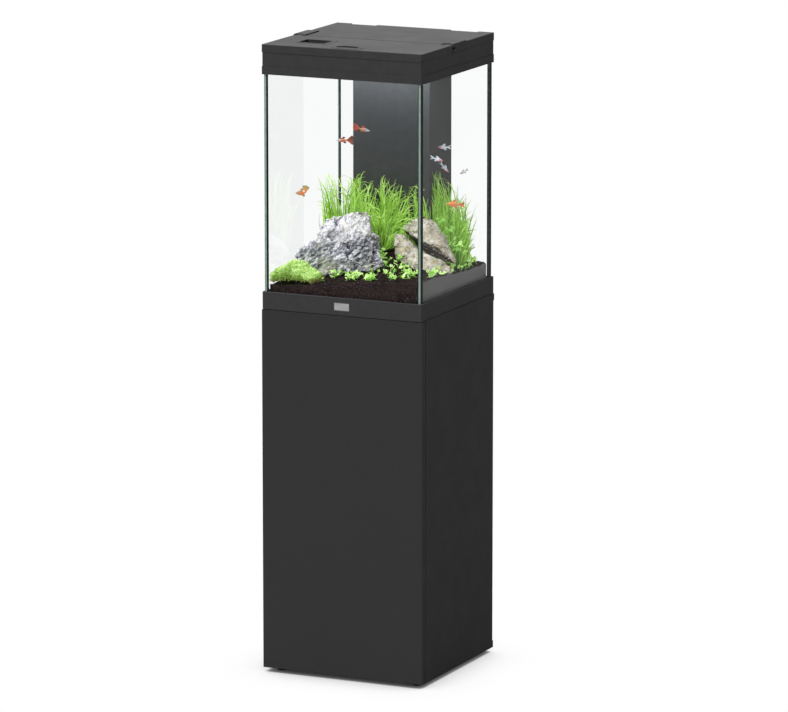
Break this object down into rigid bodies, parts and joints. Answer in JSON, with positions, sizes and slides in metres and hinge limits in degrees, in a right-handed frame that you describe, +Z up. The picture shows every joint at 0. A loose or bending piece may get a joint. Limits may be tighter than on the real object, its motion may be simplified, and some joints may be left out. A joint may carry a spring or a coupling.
{
  "type": "aquarium on stand",
  "caption": "Tall square aquarium on a cupboard stand, with a lift-off hood, hinged front flap, feeding hatch, LED bar, internal filter and a planted rock layout.",
  "frame": {"origin": "on the floor, under the middle of the cabinet's outline", "axes": "+Z up, +X to the right seen from the door, -Y towards the door"},
  "size_m": [0.4, 0.396, 1.4524],
  "materials": {
    "cabinet_board": "satin melamine foil",
    "dowel_wood": "raw beech",
    "black_plastic": "fine moulded grain",
    "hood_plastic": "fine moulded grain",
    "filter_plastic": "smooth moulded",
    "steel": "nickel plated",
    "badge_metal": "brushed",
    "pane_glass": "clear float glass with green edges",
    "silicone": "black silicone",
    "foam": "closed-cell foam",
    "led_aluminium": "anodised",
    "led_board": "white solder mask",
    "led_emitter": "phosphor",
    "led_diffuser": "frosted",
    "sponge": "open-cell foam",
    "pump_plastic": "smooth",
    "impeller_plastic": "smooth",
    "heater_glass": "clear",
    "soil": "granular",
    "rock_grey": "weathered stone",
    "rock_tan": "weathered stone",
    "grass_leaf": "waxy leaf",
    "round_leaf": "waxy leaf",
    "moss": "fine fronds",
    "fish_skin": "wet scales"
  },
  "bodies": {
    "cabinet": {"bottom_board": "cabinet_board", "top_board": "cabinet_board", "side_panel_left": "cabinet_board", "side_panel_right": "cabinet_board", "back_panel": "cabinet_board", "shelf": "cabinet_board", "dowels": "dowel_wood", "feet": "black_plastic", "latch_body": "black_plastic", "shelf_pins": "steel", "cam_fittings": "steel", "hinge_plates": "steel", "hinge_arms": "steel", "hinge_plate_screws": "steel", "base_frame": "hood_plastic", "badge": "badge_metal", "bottom_glass": "pane_glass", "front_glass": "pane_glass", "back_glass": "pane_glass", "left_glass": "pane_glass", "right_glass": "pane_glass", "corner_seals": "silicone", "bottom_seal": "silicone", "foam_mat": "foam", "filter_box": "filter_plastic", "pump_outlet": "filter_plastic", "filter_sponge": "sponge", "pump_body": "pump_plastic", "heater_tube": "heater_glass", "substrate": "soil", "rock_left": "rock_grey", "rock_right": "rock_tan", "grass": "grass_leaf", "leaf_plants": "round_leaf", "moss_carpet": "moss", "fish": "fish_skin"},
    "door": {"door": "cabinet_board", "hinge_cups": "steel", "hinge_pins": "steel", "hinge_cup_screws": "steel", "strike_plate": "steel"},
    "latch_plunger": {"latch_plunger": "black_plastic"},
    "hood": {"hood_frame": "hood_plastic", "hood_rear_panel": "hood_plastic", "hinge_covers": "hood_plastic", "flap_pins": "steel", "led_housing": "led_aluminium", "led_board": "led_board", "led_emitters": "led_emitter", "led_diffuser": "led_diffuser", "led_end_caps": "black_plastic", "led_brackets": "steel"},
    "flap": {"front_flap": "hood_plastic", "grip_cup": "hood_plastic", "feed_funnel": "hood_plastic"},
    "hatch": {"feed_hatch": "hood_plastic", "hatch_pin": "steel"},
    "filter_lid": {"filter_lid": "filter_plastic"},
    "impeller": {"impeller": "impeller_plastic"},
    "heater_dial": {"heater_dial": "black_plastic"}
  },
  "joints": [
    {"name": "door_hinge", "type": "hinge", "parent": "cabinet", "child": "door", "pos_m": [-0.194, -0.193, 0.43], "axis": [0, 0, -1], "range_deg": [0, 100]},
    {"name": "latch_press", "type": "slide", "parent": "cabinet", "child": "latch_plunger", "axis": [0, 1, 0], "range_m": [0, 0.003], "stiffness_N_per_m": 300},
    {"name": "hood_lift", "type": "slide", "parent": "cabinet", "child": "hood", "axis": [0, 0, 1], "range_m": [0, 0.12]},
    {"name": "flap_hinge", "type": "hinge", "parent": "hood", "child": "flap", "pos_m": [0, -0.026, 1.4485], "axis": [-1, 0, 0], "range_deg": [0, 100]},
    {"name": "hatch_hinge", "type": "hinge", "parent": "flap", "child": "hatch", "pos_m": [-0.105, -0.0887, 1.438], "axis": [-1, 0, 0], "range_deg": [0, 80]},
    {"name": "filter_lid_lift", "type": "slide", "parent": "cabinet", "child": "filter_lid", "axis": [0, 0, 1], "range_m": [0, 0.045]},
    {"name": "impeller_spin", "type": "hinge", "parent": "cabinet", "child": "impeller", "pos_m": [-0.062, 0.12675, 0.918], "axis": [0, 0, 1], "continuous": true},
    {"name": "heater_dial_turn", "type": "hinge", "parent": "cabinet", "child": "heater_dial", "pos_m": [0.065, 0.12675, 1.235], "axis": [0, 0, 1], "range_deg": [0, 270]}
  ]
}
